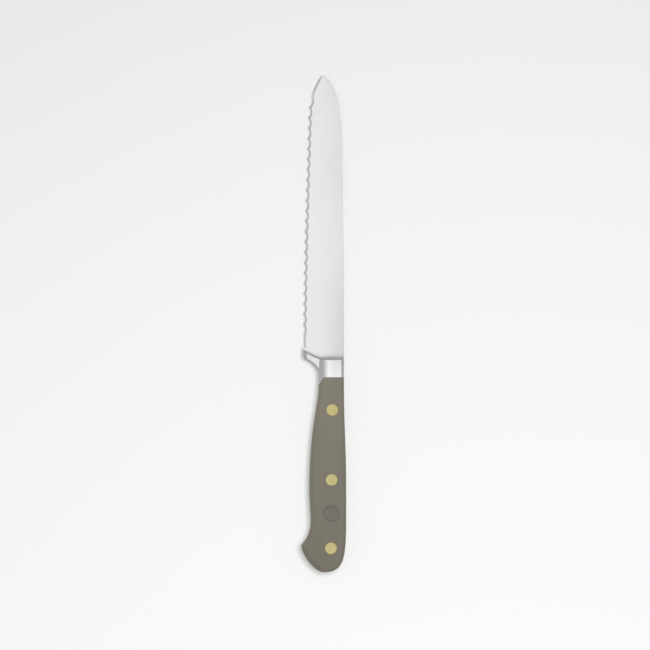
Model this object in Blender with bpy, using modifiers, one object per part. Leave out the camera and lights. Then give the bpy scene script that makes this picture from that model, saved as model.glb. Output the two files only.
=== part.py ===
"""Serrated utility knife: a one-piece forging (blade, bolster, finger guard and full tang), two scales,
three two-part cutler's rivets and a plain round inlay.

Knife frame: X runs across the blade, with its spine at X = 0 and its edge towards -X. Y runs along the knife
from the butt to the tip. Z runs through the thickness, with Z = 0 in the middle of blade and tang.
An empty lays that frame on the lower scale, so that +Z is up and the origin is under the middle of the box.

All sizes are in metres. A depth is a distance below the line of the spine, towards the edge.
"""

from math import asin, atan2, cos, hypot, pi, sin, tan

import bmesh
import bpy
from mathutils import Matrix, Vector
from mathutils.geometry import interpolate_bezier

# Lengths along the knife
HANDLE_LENGTH = 0.0995  # butt to the seam between scales and bolster
BOLSTER_LENGTH = 0.0091  # seam to the step down to the blade, at the spine
HEEL_LEAD = 0.0049  # how much further forward that step lies at the heel
BLADE_LENGTH = 0.141  # heel to tip

# Blade
BLADE_HEIGHT = 0.0214  # at the heel
TIP_DEPTH = 0.0105
SPINE_THICKNESS = 0.0022  # at the heel
EDGE_THICKNESS = 0.0006  # of the steel behind the ground bevel, at the heel
TIP_THINNING = 0.0005  # how much thinner the blade is at the tip than at the heel
BEVEL_WIDTH = 0.0015
EDGE_LAND = 0.00006  # the blunt land that stands for the keen edge
SPINE_DROP_LENGTH = 0.0395  # the last stretch before the tip, where the spine falls away
SPINE_DROP_DEPTH = 0.0008  # depth of the spine where that stretch starts
EDGE_RISE_LENGTH = 0.0217  # the last stretch before the tip, where the edge sweeps up
EDGE_RISE_DEPTH = BLADE_HEIGHT - 0.00275  # depth of the edge where that stretch starts

# Serrations, ground into the upper side only
SERRATION_PITCH = 0.00528
SERRATION_DEPTH = 0.0007
PLAIN_HEEL_LENGTH = 0.0077
PLAIN_TIP_LENGTH = 0.0118

# Bolster and finger guard
BOLSTER_FRONT_THICKNESS = 0.0114
STEP_RUN = 0.0032  # length of the hollow fillet from the bolster down to the blade
HEEL_STEP_RUN = 0.0011  # the same fillet at the heel
STEP_STRAIGHT_DEPTH = 0.0098  # where the step leaves its straight stretch and sweeps towards the heel
SEAM_STRAIGHT_DEPTH = 0.0104  # where the seam leaves its straight stretch
SEAM_SLANT_LENGTH = 0.0041  # how far back the slanted end of the seam runs, to the belly
GUARD_ROOT_THICKNESS = 0.0078
GUARD_HEEL_THICKNESS = 0.0036
GUARD_HEEL_LENGTH = 0.0045
FINGER_CURVE_SINK = 0.0005  # how far inside the belly side of the bolster the finger curve starts
GUARD_EDGE_ROUND = 0.0007

# Handle outline
NECK_DEPTH = 0.01305
NECK_POSITION = 0.0940
BELLY_DEPTH = 0.0177
BELLY_POSITION = 0.0430
WAIST_DEPTH = 0.0170
WAIST_POSITION = 0.0263
HOOK_DEPTH = BLADE_HEIGHT + 0.0004  # the hook is in line with the heel
HOOK_POSITION = 0.0137
BUTT_DEPTH = 0.0105  # where the outline touches the end of the butt
SWELL_HEIGHT = 0.00115  # how far the back of the handle rises above the line of the spine
SWELL_POSITION = 0.0380

# Handle thickness and rounding
HANDLE_SEAM_THICKNESS = 0.0124
HANDLE_BUTT_THICKNESS = 0.0146
TANG_THICKNESS = 0.0024
BELLY_ROUND = 0.0034
SPINE_ROUND = 0.0022
HOOK_ROUND = 0.0006  # at the point of the hook, growing from there to the roundings above

# Rivets, each at (position along the knife, depth), and their two halves
RIVET_PLACES = ((0.0122, 0.0066), (0.0471, 0.00625), (0.0828, 0.0059))
RIVET_NAMES = ("butt", "middle", "front")
RIVET_HEAD_DIAMETER = 0.0062
RIVET_HEAD_LENGTH = 0.0022
RIVET_PIN_DIAMETER = 0.0024
RIVET_TUBE_WALL = 0.0007

# Inlay in the upper scale
INLAY_DIAMETER = 0.0087
INLAY_THICKNESS = 0.0012
INLAY_POSITION = 0.0299
INLAY_DEPTH = 0.00635

# Clearances
FIT_GAP = 0.0003  # between pieces that touch on the real knife
FORGE_PROUD = 0.00005  # how far the bolster stands out from blade, tang and scales at its sides
FORGE_SINK = 0.00015  # how far one forged shape runs into another

# Facets
OUTLINE_STEPS = 12
ROUND_STEPS = 4
SCALLOP_STEPS = 8
RIVET_STEPS = 40
INLAY_STEPS = 48
SHARP_ANGLE = 0.6

# Worked out from the sizes above
STEP_POSITION = HANDLE_LENGTH + BOLSTER_LENGTH
HEEL_POSITION = STEP_POSITION + HEEL_LEAD
TIP_POSITION = HEEL_POSITION + BLADE_LENGTH
TAPER_ANGLE = atan2((HANDLE_BUTT_THICKNESS - HANDLE_SEAM_THICKNESS) / 2, HANDLE_LENGTH)
SCALE_INNER_FACE = TANG_THICKNESS / 2 + FIT_GAP
SCALE_OVERRUN = 1.5 * BELLY_ROUND  # how far a scale is drawn past the seam, before its front end is cut
RIVET_BORE_RADIUS = RIVET_PIN_DIAMETER / 2 + FIT_GAP
RIVET_TUBE_RADIUS = RIVET_BORE_RADIUS + RIVET_TUBE_WALL
QUARTER_TURN = [pi / 2 * i / ROUND_STEPS for i in range(ROUND_STEPS + 1)]
UPPER = 1
LOWER = -1


def clear_scene():
    for obj in list(bpy.data.objects):
        bpy.data.objects.remove(obj)


def new_collection(name):
    collection = bpy.data.collections.new(name)
    bpy.context.scene.collection.children.link(collection)
    return collection


def new_material(name, colour, metallic, roughness):
    material = bpy.data.materials.new(name)
    material.use_nodes = True
    shader = material.node_tree.nodes["Principled BSDF"]
    shader.inputs["Base Color"].default_value = (*colour, 1.0)
    shader.inputs["Metallic"].default_value = metallic
    shader.inputs["Roughness"].default_value = roughness
    material.diffuse_color = (*colour, 1.0)
    return material


def add_object(name, mesh, collection):
    obj = bpy.data.objects.new(name, mesh)
    collection.objects.link(obj)
    return obj


def mark_as_construction(obj):
    obj.hide_render = True
    obj.display_type = "WIRE"


def evaluated_mesh(obj):
    bpy.context.view_layer.update()
    depsgraph = bpy.context.evaluated_depsgraph_get()
    return bpy.data.meshes.new_from_object(obj.evaluated_get(depsgraph))


def add_boolean(obj, other, operation):
    modifier = obj.modifiers.new(f"{operation.lower()} {other.name}", "BOOLEAN")
    modifier.operation = operation
    modifier.object = other


def merge_flat_faces(mesh):
    """Joins coplanar triangles and strips into single faces."""
    bm = bmesh.new()
    bm.from_mesh(mesh)
    bmesh.ops.remove_doubles(bm, verts=bm.verts, dist=1e-7)
    bmesh.ops.dissolve_limit(bm, angle_limit=1e-4, verts=bm.verts, edges=bm.edges)
    bmesh.ops.recalc_face_normals(bm, faces=bm.faces)
    bm.to_mesh(mesh)
    bm.free()


# Outlines in plan


def knot(depth, position, back=None, ahead=None):
    """A Bezier knot, with each handle as an offset in (depth, position), or None at a straight stretch."""
    return {"at": (depth, position), "back": back, "ahead": ahead}


def plan_point(depth, position, z=0.0):
    return Vector((-depth, position, z))


def plate_mesh(name, knots, bottom, top):
    """A flat plate with a Bezier outline, between the heights bottom and top."""
    curve = bpy.data.curves.new(name, "CURVE")
    curve.dimensions = "2D"
    curve.fill_mode = "BOTH"
    curve.extrude = (top - bottom) / 2
    curve.resolution_u = OUTLINE_STEPS
    spline = curve.splines.new("BEZIER")
    spline.bezier_points.add(len(knots) - 1)
    spline.use_cyclic_u = True
    spline.use_smooth = False
    for point, data in zip(spline.bezier_points, knots):
        point.co = plan_point(*data["at"])
        for side, offset in (("left", data["back"]), ("right", data["ahead"])):
            setattr(point, f"handle_{side}_type", "VECTOR" if offset is None else "FREE")
            if offset is not None:
                setattr(point, f"handle_{side}", point.co + plan_point(*offset))
    obj = add_object(name, curve, bpy.context.scene.collection)
    mesh = evaluated_mesh(obj)
    mesh.transform(Matrix.Translation((0, 0, (top + bottom) / 2)))
    bpy.data.objects.remove(obj)
    bpy.data.curves.remove(curve)
    merge_flat_faces(mesh)
    return mesh


def outline_points(knots):
    """Points round a closed outline of knots, each as (depth, position)."""
    points = []
    for one, two in zip(knots, knots[1:] + knots[:1]):
        if one["ahead"] is None:
            points.append(one["at"])
        else:
            leave = (one["at"][0] + one["ahead"][0], one["at"][1] + one["ahead"][1])
            arrive = (two["at"][0] + two["back"][0], two["at"][1] + two["back"][1])
            points += bezier_line(one["at"], leave, arrive, two["at"], OUTLINE_STEPS + 1)[:-1]
    return points


def handle_knots(top_knots):
    """The outline that tang and scales share, from the spine side round the butt to the neck, then top_knots.

    The lengths of the Bezier handles are shares of the runs between the knots.
    """
    start = HANDLE_LENGTH - FIT_GAP
    back_run = start - SWELL_POSITION
    return [
        knot(0, start, ahead=(0, -0.47 * back_run)),
        knot(-SWELL_HEIGHT, SWELL_POSITION, back=(0, 0.53 * back_run), ahead=(0, -0.78 * SWELL_POSITION)),
        knot(
            BUTT_DEPTH,
            0,
            back=(-BUTT_DEPTH - 1.5 * SWELL_HEIGHT, 0),
            ahead=(0.36 * (HOOK_DEPTH - BUTT_DEPTH), 0),
        ),
        knot(
            HOOK_DEPTH,
            HOOK_POSITION,
            back=(-0.05 * HOOK_POSITION, -0.44 * HOOK_POSITION),
            ahead=(-0.34 * (HOOK_DEPTH - WAIST_DEPTH), 0.19 * (WAIST_POSITION - HOOK_POSITION)),
        ),
        knot(
            WAIST_DEPTH,
            WAIST_POSITION,
            back=(0, -0.6 * (WAIST_POSITION - HOOK_POSITION)),
            ahead=(0, 0.4 * (BELLY_POSITION - WAIST_POSITION)),
        ),
        knot(
            BELLY_DEPTH,
            BELLY_POSITION,
            back=(0, -0.5 * (BELLY_POSITION - WAIST_POSITION)),
            ahead=(0, 0.57 * (NECK_POSITION - BELLY_POSITION)),
        ),
        knot(NECK_DEPTH, NECK_POSITION, back=(0, -0.16 * (NECK_POSITION - BELLY_POSITION))),
        *top_knots,
    ]


def bolster_clearance_mesh():
    """A plate over the bolster, to cut the front ends of the scales with, a gap behind the seam."""
    slope = -SEAM_SLANT_LENGTH / (NECK_DEPTH - SEAM_STRAIGHT_DEPTH)
    slant_shift = FIT_GAP * hypot(1, slope)
    corner = SEAM_STRAIGHT_DEPTH + (slant_shift - FIT_GAP) / slope
    rear = HANDLE_LENGTH - FIT_GAP
    front = HANDLE_LENGTH + 2 * SCALE_OVERRUN
    low, high = -BOLSTER_LENGTH, NECK_DEPTH + BOLSTER_LENGTH
    slant_end = HANDLE_LENGTH - slant_shift + slope * (high - SEAM_STRAIGHT_DEPTH)
    corners = [(low, front), (low, rear), (corner, rear), (high, slant_end), (high, front)]
    knots = [knot(*at) for at in corners]
    return plate_mesh("bolster_clearance", knots, -HANDLE_BUTT_THICKNESS, HANDLE_BUTT_THICKNESS)


def value_at(points, key):
    """Reads a smooth line, given as (key, value) points in rising order of key."""
    for (k0, v0), (k1, v1) in zip(points, points[1:]):
        if key <= k1:
            return v0 + (v1 - v0) * max(key - k0, 0) / (k1 - k0)
    return points[-1][1]


def bezier_line(start, start_handle, end_handle, end, steps=60):
    """Points along a cubic, from (key, value) pairs."""
    corners = [Vector((*p, 0)) for p in (start, start_handle, end_handle, end)]
    return [(p.x, p.y) for p in interpolate_bezier(*corners, steps)]


# Blade


def blade_lines():
    """The spine and the edge as (position, depth) lines."""
    drop = TIP_POSITION - SPINE_DROP_LENGTH
    rise = TIP_POSITION - EDGE_RISE_LENGTH
    tip = (TIP_POSITION, TIP_DEPTH)
    spine = bezier_line(
        (STEP_POSITION, 0),
        (STEP_POSITION + 0.6 * (drop - STEP_POSITION), 0),
        (drop - 0.5 * (drop - STEP_POSITION), 0.35 * SPINE_DROP_DEPTH),
        (drop, SPINE_DROP_DEPTH),
    )
    spine += bezier_line(
        (drop, SPINE_DROP_DEPTH),
        (drop + 0.52 * SPINE_DROP_LENGTH, SPINE_DROP_DEPTH + 0.02 * TIP_DEPTH),
        (TIP_POSITION - 0.13 * SPINE_DROP_LENGTH, 0.3 * TIP_DEPTH),
        tip,
    )[1:]
    edge = bezier_line(
        (HEEL_POSITION, BLADE_HEIGHT),
        (HEEL_POSITION + 0.3 * (rise - HEEL_POSITION), BLADE_HEIGHT - 0.0001),
        (rise - 0.3 * (rise - HEEL_POSITION), EDGE_RISE_DEPTH + 0.42 * (BLADE_HEIGHT - EDGE_RISE_DEPTH)),
        (rise, EDGE_RISE_DEPTH),
    )
    edge += bezier_line(
        (rise, EDGE_RISE_DEPTH),
        (rise + 0.58 * EDGE_RISE_LENGTH, EDGE_RISE_DEPTH - 0.1 * (EDGE_RISE_DEPTH - TIP_DEPTH)),
        (TIP_POSITION - 0.02 * EDGE_RISE_LENGTH, TIP_DEPTH + 0.26 * (EDGE_RISE_DEPTH - TIP_DEPTH)),
        tip,
    )[1:]
    return spine, edge


def blade_half_thickness(depth, position):
    """Both faces of the blade are flat, and lean together towards edge and tip."""
    across = (SPINE_THICKNESS - EDGE_THICKNESS) / 2 * depth / BLADE_HEIGHT
    along = TIP_THINNING / 2 * (position - HEEL_POSITION) / BLADE_LENGTH
    return SPINE_THICKNESS / 2 - across - along


def serrated_range():
    return HEEL_POSITION + PLAIN_HEEL_LENGTH, TIP_POSITION - PLAIN_TIP_LENGTH


def blade_positions():
    """Where the blade's cross-sections stand, closer together at the scallops and at the tip."""
    low, high = serrated_range()
    steps = max(round((high - low) / SERRATION_PITCH), 1) * SCALLOP_STEPS
    scallops = [low + (high - low) * i / steps for i in range(steps + 1)]
    tip_steps = 12
    tip = [TIP_POSITION - PLAIN_TIP_LENGTH * (1 - i / tip_steps) ** 2 for i in range(1, tip_steps)]
    tip.append(TIP_POSITION - 0.002 * PLAIN_TIP_LENGTH)
    heel = [HEEL_POSITION - HEEL_STEP_RUN, HEEL_POSITION, HEEL_POSITION + 2 * BEVEL_WIDTH]
    return heel + scallops + tip


def scallop_depth(position):
    """How far the edge is drawn back by the scallops, as shallow arcs between cusps."""
    low, high = serrated_range()
    if not low < position < high:
        return 0.0
    count = max(round((high - low) / SERRATION_PITCH), 1)
    share = (position - low) / (high - low) * count % 1
    return SERRATION_DEPTH * 4 * share * (1 - share)


def blade_ring(position, spine_depth, edge_depth, bevel):
    spine_half = blade_half_thickness(spine_depth, position)
    edge_half = blade_half_thickness(edge_depth, position)
    bevel_depth = edge_depth - bevel
    return [
        plan_point(spine_depth, position, spine_half),
        plan_point(spine_depth, position, -spine_half),
        plan_point(edge_depth, position, -edge_half),
        plan_point(edge_depth, position, EDGE_LAND - edge_half),
        plan_point(bevel_depth, position, blade_half_thickness(bevel_depth, position)),
    ]


def blade_mesh():
    spine, edge = blade_lines()
    # The root of the blade narrows inside the bolster, so that none of it shows behind the finger guard
    root = HANDLE_LENGTH + 0.6 * BOLSTER_LENGTH
    rings = [blade_ring(root, 0, 0.15 * BLADE_HEIGHT, 0.1 * BEVEL_WIDTH)]
    for position in blade_positions():
        spine_depth = value_at(spine, position)
        plain_edge = value_at(edge, position)
        fade_in = BEVEL_WIDTH / 10 + (position - HEEL_POSITION) / 2
        bevel = min(BEVEL_WIDTH, max(fade_in, BEVEL_WIDTH / 10), 0.25 * (plain_edge - spine_depth))
        rings.append(blade_ring(position, spine_depth, plain_edge - scallop_depth(position), bevel))
    mesh = loft_mesh("blade", rings)
    merge_flat_faces(mesh)
    return mesh


def loft_mesh(name, rings):
    """A closed skin over rings of equally many points, with a flat face at each end."""
    bm = bmesh.new()
    loops = [[bm.verts.new(point) for point in ring] for ring in rings]
    for one, two in zip(loops, loops[1:]):
        for i in range(len(one)):
            j = (i + 1) % len(one)
            bm.faces.new((one[i], one[j], two[j], two[i]))
    bm.faces.new(loops[0])
    bm.faces.new(loops[-1])
    bmesh.ops.recalc_face_normals(bm, faces=bm.faces)
    mesh = bpy.data.meshes.new(name)
    bm.to_mesh(mesh)
    bm.free()
    return mesh


# Bolster and finger guard


def step_line():
    """The upper edge of the step down to the blade, as (depth, position) points."""
    sweep = BLADE_HEIGHT - STEP_STRAIGHT_DEPTH
    return [(0, STEP_POSITION)] + bezier_line(
        (STEP_STRAIGHT_DEPTH, STEP_POSITION),
        (STEP_STRAIGHT_DEPTH + 0.4 * sweep, STEP_POSITION),
        (BLADE_HEIGHT - 0.25 * sweep, HEEL_POSITION - 0.3 * HEEL_LEAD),
        (BLADE_HEIGHT, HEEL_POSITION),
    )


def finger_line():
    """The back of the finger guard, as (depth, position) points from the neck to the heel."""
    reach = BLADE_HEIGHT - NECK_DEPTH
    start = HANDLE_LENGTH
    end = HEEL_POSITION - GUARD_HEEL_LENGTH
    return bezier_line(
        (NECK_DEPTH - FINGER_CURVE_SINK, start),
        (NECK_DEPTH, start + 0.54 * (end - start)),
        (NECK_DEPTH + 0.42 * reach, end - 0.12 * (end - start)),
        (BLADE_HEIGHT, end),
    )


def step_ring(depth, rear_points, front, top, run):
    """A section along the knife: rear_points, the top's front corner and the fillet down into the blade."""
    foot = blade_half_thickness(depth, front + run) - FORGE_SINK
    fillet = [(front + run * (1 - cos(a)), top - (top - foot) * sin(a)) for a in QUARTER_TURN]
    upper = rear_points + fillet
    lower = [(position, -height) for position, height in reversed(upper)]
    return [plan_point(depth, position, height) for position, height in upper + lower]


def step_run(depth):
    """The fillet is longest over the bolster and tightens over the guard."""
    share = min(max((depth - STEP_STRAIGHT_DEPTH) / (0.6 * (BLADE_HEIGHT - STEP_STRAIGHT_DEPTH)), 0), 1)
    return STEP_RUN + (HEEL_STEP_RUN - STEP_RUN) * share


def bolster_mesh():
    """The block between blade and scales, as sections from the spine side to the belly side."""
    line = step_line()
    spine_side, belly_side = -FORGE_PROUD, NECK_DEPTH + FORGE_PROUD
    stations = [(spine_side + SPINE_ROUND * (1 - cos(a)), SPINE_ROUND * (1 - sin(a))) for a in QUARTER_TURN]
    round_start = belly_side - BELLY_ROUND
    stations += [(round_start + BELLY_ROUND * sin(a), BELLY_ROUND * (1 - cos(a))) for a in QUARTER_TURN]
    corner_drop = BELLY_ROUND * (1 - cos(asin(max(SEAM_STRAIGHT_DEPTH - round_start, 0) / BELLY_ROUND)))
    stations = sorted(stations + [(SEAM_STRAIGHT_DEPTH, corner_drop)])
    corner = (SEAM_STRAIGHT_DEPTH, HANDLE_LENGTH)
    seam = [(0, HANDLE_LENGTH), corner, (belly_side, HANDLE_LENGTH - SEAM_SLANT_LENGTH)]
    rings = []
    for depth, drop in stations:
        rear = (value_at(seam, depth), HANDLE_SEAM_THICKNESS / 2 - FORGE_PROUD - drop)
        top = BOLSTER_FRONT_THICKNESS / 2 - drop
        rings.append(step_ring(depth, [rear], value_at(line, depth), top, step_run(depth)))
    return loft_mesh("bolster", rings)


def guard_mesh():
    """The finger guard, as sections from inside the bolster to the heel."""
    line = step_line()
    finger = finger_line()
    inside = NECK_DEPTH - 0.45 * BELLY_ROUND
    root = NECK_DEPTH - FINGER_CURVE_SINK
    last = BLADE_HEIGHT - GUARD_EDGE_ROUND
    steps = 8
    depths = [root + (last - root) * i / steps for i in range(steps + 1)]
    middle = HANDLE_LENGTH + 0.5 * BOLSTER_LENGTH
    rings = [guard_ring(inside, middle, value_at(line, inside) - STEP_RUN / 4, 0.5, 0)]
    for depth in depths:
        share = (depth - root) / (last - root)
        rings.append(guard_ring(depth, value_at(finger, depth), value_at(line, depth), share, 0))
    for a in QUARTER_TURN[1:-1]:
        depth = last + GUARD_EDGE_ROUND * sin(a)
        inset = GUARD_EDGE_ROUND * (1 - cos(a))
        rings.append(guard_ring(depth, value_at(finger, depth) + inset, value_at(line, depth), 1, inset))
    return loft_mesh("guard", rings)


def guard_ring(depth, rear, front, share, inset):
    """A section along the guard. Its height falls with share towards the heel, and by inset at its end."""
    top = (GUARD_ROOT_THICKNESS + (GUARD_HEEL_THICKNESS - GUARD_ROOT_THICKNESS) * share) / 2 - inset
    radius = GUARD_EDGE_ROUND
    round_over = [(rear + radius * (1 - sin(a)), top - radius * (1 - cos(a))) for a in reversed(QUARTER_TURN)]
    return step_ring(depth, round_over, front, top, step_run(depth) - inset)


# Cutters and turned pieces


def cylinder_cutter(name, radius, depth, position, bottom, top, steps, collection):
    bm = bmesh.new()
    matrix = Matrix.Translation((0, 0, (top + bottom) / 2))
    bmesh.ops.create_cone(
        bm,
        cap_ends=True,
        segments=steps,
        radius1=radius,
        radius2=radius,
        depth=top - bottom,
        matrix=matrix,
    )
    mesh = bpy.data.meshes.new(name)
    bm.to_mesh(mesh)
    bm.free()
    obj = add_object(name, mesh, collection)
    obj.location = plan_point(depth, position)
    mark_as_construction(obj)
    return obj


def turned_mesh(name, profile, steps):
    """A solid of revolution about Z, from (radius, height) points that run down the outer side."""
    mesh = bpy.data.meshes.new(name)
    points = [(radius, 0, height) for radius, height in profile]
    mesh.from_pydata(points, [(i, i + 1) for i in range(len(points) - 1)], [])
    obj = add_object(name, mesh, bpy.context.scene.collection)
    screw = obj.modifiers.new("turn", "SCREW")
    screw.steps = steps
    screw.render_steps = steps
    screw.use_merge_vertices = True
    screw.merge_threshold = 1e-6
    turned = evaluated_mesh(obj)
    bpy.data.objects.remove(obj)
    bpy.data.meshes.remove(mesh)
    turned.name = name
    return turned


def outer_face_height(position):
    """Half the handle's thickness at a distance from the butt."""
    return HANDLE_BUTT_THICKNESS / 2 - tan(TAPER_ANGLE) * position


def grind_flush(mesh, side, position=0.0):
    """Cuts a mesh off at the outer plane of a scale. position is that of the mesh's own origin."""
    normal = Vector((0, sin(TAPER_ANGLE), side * cos(TAPER_ANGLE)))
    point = Vector((0, 0, side * outer_face_height(position)))
    bm = bmesh.new()
    bm.from_mesh(mesh)
    cut = bmesh.ops.bisect_plane(
        bm,
        geom=bm.verts[:] + bm.edges[:] + bm.faces[:],
        plane_co=point,
        plane_no=normal,
        clear_outer=True,
    )
    rim = [element for element in cut["geom_cut"] if isinstance(element, bmesh.types.BMEdge)]
    bmesh.ops.contextual_create(bm, geom=rim)
    bmesh.ops.recalc_face_normals(bm, faces=bm.faces)
    bm.to_mesh(mesh)
    bm.free()


def shade_smooth(mesh):
    mesh.shade_smooth()
    mesh.set_sharp_from_angle(angle=SHARP_ANGLE)


def keep_flat_faces_flat(obj):
    """Lets the large flat faces set the shading at their rims, after all the cuts."""
    normals = obj.modifiers.new("flat faces", "WEIGHTED_NORMAL")
    normals.keep_sharp = True


# Pieces


def forging(parts, cutters, frame, steel):
    """Blade, bolster, guard and tang, which are one piece of steel."""
    inner = SPINE_ROUND / 2
    tang_end = HANDLE_LENGTH + 0.5 * BOLSTER_LENGTH
    tang_top = [
        knot(NECK_DEPTH, HANDLE_LENGTH),
        knot(NECK_DEPTH - inner, tang_end),
        knot(inner, tang_end),
        knot(0, HANDLE_LENGTH + FIT_GAP),
    ]
    tang = plate_mesh("tang", handle_knots(tang_top), -TANG_THICKNESS / 2, TANG_THICKNESS / 2)
    obj = add_object("blade_forging", tang, parts)
    obj.parent = frame
    bolster, guard = bolster_mesh(), guard_mesh()
    shade_smooth(bolster)
    shade_smooth(guard)
    for mesh in (bolster, guard, blade_mesh()):
        shape = add_object(f"{mesh.name}_shape", mesh, cutters)
        shape.parent = frame
        mark_as_construction(shape)
        add_boolean(obj, shape, "UNION")
    hole_radius = RIVET_TUBE_RADIUS + FIT_GAP
    for name, (position, depth) in zip(RIVET_NAMES, RIVET_PLACES):
        span = (-TANG_THICKNESS, TANG_THICKNESS)
        hole = cylinder_cutter(f"tang_hole_{name}", hole_radius, depth, position, *span, RIVET_STEPS, cutters)
        hole.parent = frame
        add_boolean(obj, hole, "DIFFERENCE")
    keep_flat_faces_flat(obj)
    tang.materials.append(steel)


def rim_insets(points):
    """For each outline point, the mitred direction into the material and the radius of the rounding there."""
    hook = Vector((HOOK_DEPTH, HOOK_POSITION))
    insets = []
    for i, point in enumerate(points):
        here, back, ahead = Vector(point), Vector(points[i - 1]), Vector(points[(i + 1) % len(points)])
        inward = [Vector((-run.y, run.x)).normalized() for run in (here - back, ahead - here)]
        mitre = (inward[0] + inward[1]).normalized()
        radius = BELLY_ROUND + (SPINE_ROUND - BELLY_ROUND) * (1 + mitre.x) / 2
        radius = min(radius, HOOK_ROUND + (here - hook).length)
        insets.append((mitre / mitre.dot(inward[0]), radius))
    return insets


def scale_mesh(name, side):
    """A slab with a rounded outer rim, as outlines from the tang side outwards. It overruns the seam."""
    end = HANDLE_LENGTH + SCALE_OVERRUN
    points = outline_points(handle_knots([knot(NECK_DEPTH, end), knot(0, end)]))
    insets = rim_insets(points)
    rings = [[plan_point(*point, side * SCALE_INNER_FACE) for point in points]]
    for a in QUARTER_TURN:
        ring = []
        for point, (direction, radius) in zip(points, insets):
            depth, position = Vector(point) + direction * radius * (1 - cos(a))
            height = outer_face_height(position) - radius * (1 - sin(a))
            ring.append(plan_point(depth, position, side * height))
        rings.append(ring)
    mesh = loft_mesh(name, rings)
    shade_smooth(mesh)
    return mesh


def scale(name, side, parts, cutters, frame, plastic, with_inlay):
    mesh = scale_mesh(name, side)
    obj = add_object(name, mesh, parts)
    obj.parent = frame
    add_boolean(obj, bpy.data.objects["bolster_clearance"], "DIFFERENCE")
    for rivet, (position, depth) in zip(RIVET_NAMES, RIVET_PLACES):
        face = outer_face_height(position)
        ledge = face - RIVET_HEAD_LENGTH - FIT_GAP
        cuts = (("bore", RIVET_TUBE_RADIUS, 0), ("seat", RIVET_HEAD_DIAMETER / 2, ledge))
        for kind, radius, start in cuts:
            low, high = sorted((side * start, side * 2 * face))
            cutter = cylinder_cutter(
                f"{name}_{rivet}_{kind}", radius + FIT_GAP, depth, position, low, high, RIVET_STEPS, cutters
            )
            cutter.parent = frame
            add_boolean(obj, cutter, "DIFFERENCE")
    if with_inlay:
        face = outer_face_height(INLAY_POSITION)
        floor = face - INLAY_THICKNESS - FIT_GAP
        radius = INLAY_DIAMETER / 2 + FIT_GAP
        place = (INLAY_DEPTH, INLAY_POSITION)
        pocket = cylinder_cutter("inlay_pocket", radius, *place, floor, 2 * face, INLAY_STEPS, cutters)
        pocket.parent = frame
        add_boolean(obj, pocket, "DIFFERENCE")
    keep_flat_faces_flat(obj)
    mesh.materials.append(plastic)


def rivet_halves(name, place, parts, frame, brass):
    """A pin with a head at the upper scale, and a socket with a head at the lower scale that takes it."""
    position, depth = place
    face = outer_face_height(position)
    head_radius = RIVET_HEAD_DIAMETER / 2
    pin_radius = RIVET_PIN_DIAMETER / 2
    shoulder = face - RIVET_HEAD_LENGTH
    rough = face + RIVET_HEAD_LENGTH / 2
    pin_end = -shoulder + 2 * FIT_GAP
    pin = [
        (0, rough),
        (head_radius, rough),
        (head_radius, shoulder),
        (pin_radius, shoulder),
        (pin_radius, pin_end),
        (0, pin_end),
    ]
    socket = [
        (0, pin_end - FIT_GAP),
        (RIVET_BORE_RADIUS, pin_end - FIT_GAP),
        (RIVET_BORE_RADIUS, shoulder - FIT_GAP),
        (RIVET_TUBE_RADIUS, shoulder - FIT_GAP),
        (RIVET_TUBE_RADIUS, -shoulder),
        (head_radius, -shoulder),
        (head_radius, -rough),
        (0, -rough),
    ]
    for kind, side, profile in (("pin", UPPER, pin), ("socket", LOWER, socket)):
        mesh = turned_mesh(f"rivet_{kind}_{name}", profile, RIVET_STEPS)
        grind_flush(mesh, side, position)
        shade_smooth(mesh)
        mesh.materials.append(brass)
        obj = add_object(mesh.name, mesh, parts)
        obj.location = plan_point(depth, position)
        obj.parent = frame


def inlay(parts, frame, plastic):
    face = outer_face_height(INLAY_POSITION)
    radius = INLAY_DIAMETER / 2
    low, high = face - INLAY_THICKNESS, face + INLAY_THICKNESS
    profile = [(0, high), (radius, high), (radius, low), (0, low)]
    mesh = turned_mesh("round_inlay", profile, INLAY_STEPS)
    grind_flush(mesh, UPPER, INLAY_POSITION)
    shade_smooth(mesh)
    mesh.materials.append(plastic)
    obj = add_object("round_inlay", mesh, parts)
    obj.location = plan_point(INLAY_DEPTH, INLAY_POSITION)
    obj.parent = frame


def lay_on_lower_scale(frame, parts):
    """Turns the knife's frame until the lower scale's outer face is level, and sets the box on the origin."""
    frame.rotation_euler.x = -TAPER_ANGLE
    frame.location = (0, 0, 0)
    corners = []
    for obj in parts.objects:
        mesh = evaluated_mesh(obj)
        corners += [obj.matrix_world @ vertex.co for vertex in mesh.vertices]
        bpy.data.meshes.remove(mesh)
    low = Vector([min(corner[i] for corner in corners) for i in range(3)])
    high = Vector([max(corner[i] for corner in corners) for i in range(3)])
    frame.location = (-(low.x + high.x) / 2, -(low.y + high.y) / 2, -low.z)


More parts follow.
